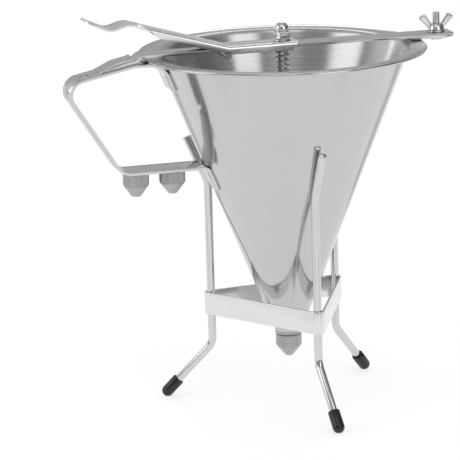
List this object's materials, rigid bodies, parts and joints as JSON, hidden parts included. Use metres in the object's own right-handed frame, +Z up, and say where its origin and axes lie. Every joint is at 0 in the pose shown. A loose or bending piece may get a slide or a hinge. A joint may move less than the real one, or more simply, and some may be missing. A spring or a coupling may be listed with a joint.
{
  "type": "batter dispenser funnel on a stand",
  "caption": "Steel batter funnel in a three-legged wire stand, with a lever that lifts a sprung plunger off its outlet nozzle.",
  "frame": {"origin": "middle of the part's box, on the table the feet stand on", "axes": "+Z up along the funnel's axis; the crossbar runs along X, with the handle on the -X side and the wing nut on the +X side"},
  "size_m": [0.2648, 0.19, 0.2676],
  "materials": {
    "funnel_steel": "polished outside, brushed round the cone inside",
    "strip_steel": "bright rolled strip",
    "band_steel": "bright strip, brushed along its length",
    "rod_steel": "bright drawn rod",
    "turned_steel": "turned and polished",
    "fastener_steel": "polished fasteners",
    "spring_wire": "drawn spring wire",
    "cap_rubber": "black moulded rubber"
  },
  "bodies": {
    "stand": {"stand_band": "band_steel", "left_leg": "rod_steel", "front_leg": "rod_steel", "rear_leg": "rod_steel", "left_foot_cap": "cap_rubber", "front_foot_cap": "cap_rubber", "rear_foot_cap": "cap_rubber"},
    "funnel": {"funnel_cone": "funnel_steel", "outlet_collar": "turned_steel", "carry_handle": "strip_steel", "bar_keeper": "strip_steel", "rim_tab": "strip_steel", "clamp_bolt": "fastener_steel", "nozzle_studs": "turned_steel", "crossbar": "strip_steel", "pivot_tube": "turned_steel", "pivot_pin": "turned_steel", "clamp_washer": "fastener_steel", "return_spring": "spring_wire"},
    "fitted_nozzle": {"fitted_nozzle": "turned_steel"},
    "left_spare": {"spare_nozzle_left": "turned_steel"},
    "right_spare": {"spare_nozzle_right": "turned_steel"},
    "wing_nut": {"wing_nut": "fastener_steel"},
    "lever": {"lever": "strip_steel"},
    "plunger": {"plunger_rod": "rod_steel", "valve_cone": "turned_steel", "dome_nut": "fastener_steel", "nut_washer": "fastener_steel", "spring_stop": "turned_steel"}
  },
  "joints": [
    {"name": "funnel_lift", "type": "slide", "parent": "stand", "child": "funnel", "axis": [0, 0, 1], "range_m": [0, 0.2]},
    {"name": "fitted_nozzle_off", "type": "slide", "parent": "funnel", "child": "fitted_nozzle", "axis": [0, 0, -1], "range_m": [0, 0.03]},
    {"name": "left_spare_off", "type": "slide", "parent": "funnel", "child": "left_spare", "axis": [0, 0, -1], "range_m": [0, 0.14]},
    {"name": "right_spare_off", "type": "slide", "parent": "funnel", "child": "right_spare", "axis": [0, 0, -1], "range_m": [0, 0.14]},
    {"name": "wing_nut_turn", "type": "hinge", "parent": "funnel", "child": "wing_nut", "pos_m": [0.11989, 0, 0.2443], "axis": [0, 0, 1], "continuous": true},
    {"name": "lever_press", "type": "hinge", "parent": "funnel", "child": "lever", "pos_m": [-0.02661, 0, 0.2388], "axis": [0, -1, 0], "range_deg": [0, 13], "stiffness_Nm_per_rad": 6.49, "springref_deg": -4.85},
    {"name": "plunger_lift", "type": "slide", "parent": "funnel", "child": "plunger", "axis": [0, 0, 1], "range_m": [0, 0.0108], "deforming": ["return_spring"]}
  ],
  "couplings": [
    {"joint": "plunger_lift", "follows": "lever_press", "m_per_rad": 0.0473}
  ]
}
